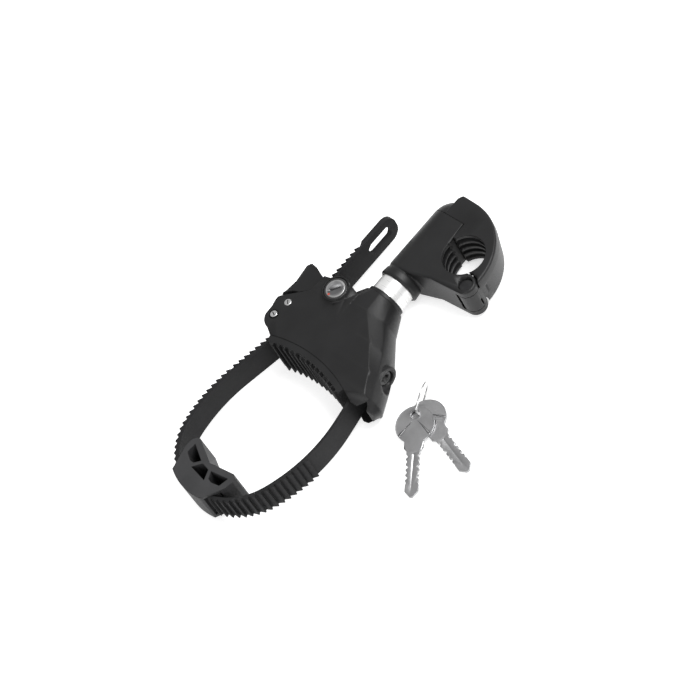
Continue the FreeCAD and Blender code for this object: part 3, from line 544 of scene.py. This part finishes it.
class CLAMP_OT_lever(bpy.types.Operator):
    """Finish the ratchet lever, with a rim round its sunk side webs"""
    bl_idname = "clamp.lever"
    bl_label = "Finish lever"

    def execute(self, context):
        look = look_settings()
        bm = merged("ratchet_lever")
        low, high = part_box("ratchet_lever")
        for direction, height in ((Vector((0, 0, 1)), high.z), (Vector((0, 0, -1)), -low.z)):
            sink_web(bm, flat_faces(bm, direction, height), look.lever_rim, look.web_depth)
        add_piece("lever_finished", bm, "lever", finish("shell"), "ratchet_lever")
        return {"FINISHED"}


class CLAMP_OT_lock(bpy.types.Operator):
    """Finish the lock's housing and the face of its plug"""
    bl_idname = "clamp.lock"
    bl_label = "Finish lock"

    def execute(self, context):
        add_piece("lock_housing", merged("lock_body"), "head", finish("lock"), "lock_body")
        add_piece("lock_front", merged("lock_plug"), "lock_plug", finish("lock_face"), "lock_plug")
        return {"FINISHED"}


class CLAMP_OT_fasteners(bpy.types.Operator):
    """Add painted shade in the drive slots of the pins and screws, and a dark ring of painted shade in the
    gap round the pawl pin
    """
    bl_idname = "clamp.fasteners"
    bl_label = "Add painted slot shade"

    def execute(self, context):
        add_pin_slot_shade()
        add_screw_cross_shade()
        add_pawl_pin_gap_shade()
        return {"FINISHED"}


def add_pin_slot_shade():
    for name, turn in (("lever_pin", 40), ("holding_pawl_pin", 65)):
        middle, low, high = middle_of(name)
        place = (middle.x, middle.y, high.z + 0.00003)
        head = (high.x - low.x) * 0.66
        # Painted shade: a thin dark bar laid on the pin head stands in for the shade down its drive slot
        slot = block((head, head * 0.2, 0.0003), place, math.radians(turn))
        add_piece(name + "_slot", slot, "head", finish("painted_shade"))


def add_screw_cross_shade():
    for number in range(1, 5):
        middle, low, high = middle_of(f"cover_screw_{number}")
        arm = (high.x - low.x) * 0.6
        for turn in (20, 110):
            place = (middle.x, middle.y, low.z + 0.00027)
            # Painted shade: dark bars laid on the screw head stand in for the shade in its cross recess
            shade_bar = block((arm, arm * 0.2, 0.0003), place, math.radians(turn + 25 * number))
            add_piece(f"cover_screw_{number}_cross_{turn}", shade_bar, "head", finish("painted_shade"))


def add_pawl_pin_gap_shade():
    middle, low, high = middle_of("holding_pawl_pin")
    head = (high.x - low.x) / 2
    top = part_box("frame_pad")[1].z + 0.0005
    # Painted shade: a dark flat ring stands in for the shade in the gap round the pin head
    ring = flat_ring(head + 0.0001, head + 0.0008, top - 0.0003, top + 0.0002, (middle.x, middle.y))
    add_piece("pawl_pin_gap_shade", ring, "head", finish("painted_shade"))


class CLAMP_OT_keys(bpy.types.Operator):
    """Finish the keys, with a raised rim round each bow, and their ring"""
    bl_idname = "clamp.keys"
    bl_label = "Finish keys"

    def execute(self, context):
        look = look_settings()
        for node, (x, y, heading, slope) in KEYS.items():
            bm = rimmed_key(node, x, y, heading, slope, look)
            add_piece(node + "_finished", bm, "keys", finish("key"), node)
        add_piece("key_ring_finished", merged("key_ring"), "keys", finish("bright"), "key_ring", crisp=80)
        return {"FINISHED"}


def rimmed_key(node, x, y, heading, slope, look):
    """A key with both faces of its bow sunk inside a rim, cut off straight before the blade."""
    turn = Matrix.Rotation(math.radians(heading), 3, "Z") @ Matrix.Rotation(math.radians(slope), 3, "Y")
    along, upright = turn @ Vector((1, 0, 0)), turn @ Vector((0, 0, 1))
    bow = Vector((x * MM, y * MM, 0))
    chord = bow + along * look.bow_chord
    bm = merged(node)
    everything = bm.verts[:] + bm.edges[:] + bm.faces[:]
    bmesh.ops.bisect_plane(bm, geom=everything, plane_co=chord, plane_no=along, dist=1e-7)
    for side in (upright, -upright):
        faces = [f for f in flat_faces(bm, side) if (f.calc_center_median() - chord).dot(along) < 0]
        sink_web(bm, faces, look.key_rim, look.rim_height)
    return bm


class CLAMP_OT_stage(bpy.types.Operator):
    """Set up the floor, the lights and the camera"""
    bl_idname = "clamp.stage"
    bl_label = "Set up studio"

    def execute(self, context):
        stage = context.scene.clamp_stage
        make_floor()
        make_lights(stage)
        make_camera(stage)
        return {"FINISHED"}


def make_floor():
    """White floor that shows the object's shadow and glows for the camera."""
    low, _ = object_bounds()
    bm = bmesh.new()
    bmesh.ops.create_grid(bm, x_segments=1, y_segments=1, size=6)
    bmesh.ops.translate(bm, verts=bm.verts, vec=(0, 0, low.z - 0.0002))
    mesh = bpy.data.meshes.new("studio_floor")
    bm.to_mesh(mesh)
    bm.free()
    floor = bpy.data.objects.new("studio_floor", mesh)
    bpy.context.scene.collection.objects.link(floor)
    material = bpy.data.materials.new("Studio white")
    material.use_nodes = True
    nodes, links = material.node_tree.nodes, material.node_tree.links
    nodes.clear()
    output = nodes.new("ShaderNodeOutputMaterial")
    paper = nodes.new("ShaderNodeBsdfDiffuse")
    paper.inputs["Color"].default_value = (0.8, 0.8, 0.8, 1)
    glow = nodes.new("ShaderNodeEmission")
    glow.inputs["Color"].default_value = (1, 1, 1, 1)
    seen = nodes.new("ShaderNodeMath")
    seen.operation = "MAXIMUM"
    level = nodes.new("ShaderNodeMath")
    level.operation = "MULTIPLY"
    level.inputs[1].default_value = FLOOR_GLOW
    both = nodes.new("ShaderNodeAddShader")
    path = nodes.new("ShaderNodeLightPath")
    links.new(path.outputs["Is Camera Ray"], seen.inputs[0])
    links.new(path.outputs["Is Glossy Ray"], seen.inputs[1])
    links.new(seen.outputs["Value"], level.inputs[0])
    links.new(level.outputs["Value"], glow.inputs["Strength"])
    links.new(paper.outputs["BSDF"], both.inputs[0])
    links.new(glow.outputs["Emission"], both.inputs[1])
    links.new(both.outputs["Shader"], output.inputs["Surface"])
    mesh.materials.append(material)
    floor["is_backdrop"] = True


def area_light(name, place, target, size, power):
    data = bpy.data.lights.new(name, "AREA")
    data.shape = "RECTANGLE"
    data.size, data.size_y = size
    data.energy = power
    light = bpy.data.objects.new(name, data)
    bpy.context.scene.collection.objects.link(light)
    light.location = place
    light.rotation_mode = "QUATERNION"
    light.rotation_quaternion = (Vector(target) - Vector(place)).to_track_quat("-Z", "Y")
    light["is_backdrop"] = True


def make_lights(stage):
    area_light("key light", (-0.35, 0.25, 0.9), LIT_POINT, (0.7, 0.5), stage.key_power)
    area_light("fill light", (0.9, 0.4, 0.5), LIT_POINT, (0.6, 0.6), stage.fill_power)
    world = bpy.data.worlds.new("Studio air")
    bpy.context.scene.world = world
    world.use_nodes = True
    background = world.node_tree.nodes["Background"]
    background.inputs["Color"].default_value = (1, 1, 1, 1)
    background.inputs["Strength"].default_value = stage.world_level


def make_camera(stage):
    """Camera on a long lens, turned about its own line of sight."""
    turn, rise, roll = stage.camera_turn, stage.camera_rise, stage.camera_roll
    target = Vector(AIMED_POINT) * MM
    back = Vector((math.cos(turn) * math.cos(rise), math.sin(turn) * math.cos(rise), math.sin(rise)))
    right = (-back).cross(Vector((0, 0, 1))).normalized()
    up = right.cross(-back)
    axis_x = right * math.cos(roll) + up * math.sin(roll)
    axis_y = up * math.cos(roll) - right * math.sin(roll)
    data = bpy.data.cameras.new("camera")
    data.lens = LENS
    data.sensor_width = SENSOR
    camera = bpy.data.objects.new("camera", data)
    bpy.context.scene.collection.objects.link(camera)
    camera.rotation_mode = "QUATERNION"
    camera.rotation_quaternion = Matrix((axis_x, axis_y, back)).transposed().to_quaternion()
    camera.location = target + back * stage.camera_distance
    bpy.context.scene.camera = camera


class CLAMP_PT_panel(bpy.types.Panel):
    bl_idname = "CLAMP_PT_panel"
    bl_label = "Frame clamp"
    bl_space_type = "VIEW_3D"
    bl_region_type = "UI"
    bl_category = "Frame clamp"

    def draw(self, context):
        layout = self.layout
        for name in ClampLook.__annotations__:
            layout.prop(context.scene.clamp_look, name)
        for step in STEPS:
            layout.operator("clamp." + step)
        for name in ClampStage.__annotations__:
            layout.prop(context.scene.clamp_stage, name)
        layout.operator("clamp.stage")


STEPS = ("finishes", "mouldings", "metalwork", "strap", "lever", "lock", "fasteners", "keys")
CLASSES = (
    ClampLook, ClampStage, CLAMP_OT_finishes, CLAMP_OT_mouldings, CLAMP_OT_metalwork, CLAMP_OT_strap,
    CLAMP_OT_lever, CLAMP_OT_lock, CLAMP_OT_fasteners, CLAMP_OT_keys, CLAMP_OT_stage, CLAMP_PT_panel,
)


def register():
    for cls in CLASSES:
        bpy.utils.register_class(cls)
    bpy.types.Scene.clamp_look = bpy.props.PointerProperty(type=ClampLook)
    bpy.types.Scene.clamp_stage = bpy.props.PointerProperty(type=ClampStage)


def unregister():
    del bpy.types.Scene.clamp_stage
    del bpy.types.Scene.clamp_look
    for cls in reversed(CLASSES):
        bpy.utils.unregister_class(cls)


def main():
    register()
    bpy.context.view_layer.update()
    for step in STEPS:
        getattr(bpy.ops.clamp, step)()
    bpy.ops.clamp.stage()
    bpy.context.scene.view_settings.view_transform = "Standard"


if __name__ == "__main__":
    main()
